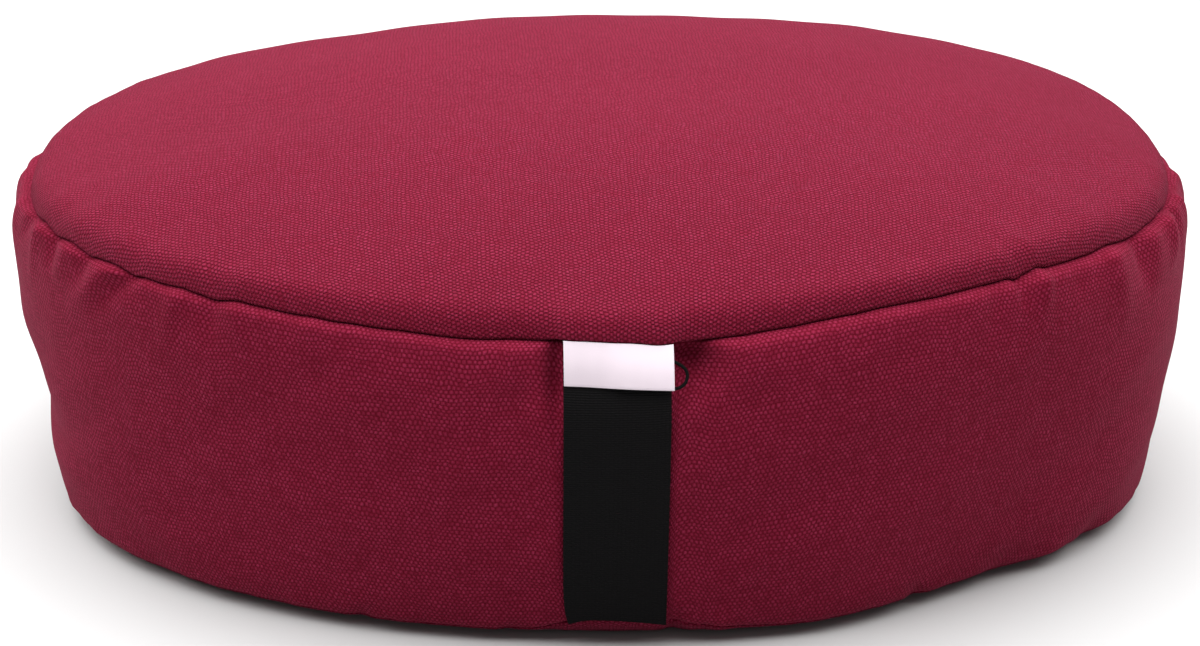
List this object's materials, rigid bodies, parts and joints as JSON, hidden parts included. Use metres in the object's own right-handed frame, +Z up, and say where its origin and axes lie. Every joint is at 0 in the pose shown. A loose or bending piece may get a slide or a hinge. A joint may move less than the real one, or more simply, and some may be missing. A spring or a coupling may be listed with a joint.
{
  "type": "meditation cushion",
  "caption": "Oval boxed meditation cushion, hull-filled, with a crowned top, gathered side band, flat webbing strap on the front, blank sewn-in label and a thin cord loop.",
  "frame": {"origin": "on the floor, under the middle of the cushion's outline seen from above", "axes": "+X along the oval's long axis to the right of a viewer at the front, -Y to the front where the strap is sewn, +Z up"},
  "size_m": [0.4749, 0.372, 0.1685],
  "materials": {
    "cover_cloth": "matt plain-weave cotton duck",
    "webbing": "matt ribbed webbing",
    "label_tape": "smooth satin-woven tape",
    "cord": "matt twisted cord"
  },
  "bodies": {
    "root": {"cushion": "cover_cloth", "carry_strap": "webbing", "label": "label_tape", "cord_loop": "cord"}
  },
  "joints": []
}
